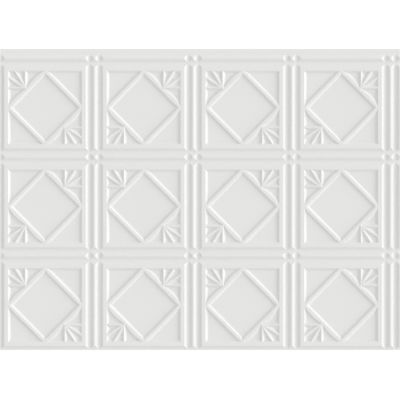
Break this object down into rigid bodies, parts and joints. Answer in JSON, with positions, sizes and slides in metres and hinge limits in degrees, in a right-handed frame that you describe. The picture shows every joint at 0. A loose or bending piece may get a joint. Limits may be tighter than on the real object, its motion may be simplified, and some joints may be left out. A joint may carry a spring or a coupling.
{
  "type": "textured wall panel",
  "caption": "Thin white formed plastic wall sheet with a grid of raised square frames, each holding a diamond ridge and corner fans, for covering a wall.",
  "frame": {"origin": "middle of the back, at the level that lies on the wall or floor", "axes": "+X along the long side, +Y up the face as it hangs, +Z out of the patterned face"},
  "size_m": [0.6178, 0.4654, 0.0038],
  "materials": {
    "white_vinyl": "satin"
  },
  "bodies": {
    "root": {"wall_panel": "white_vinyl"}
  },
  "joints": []
}
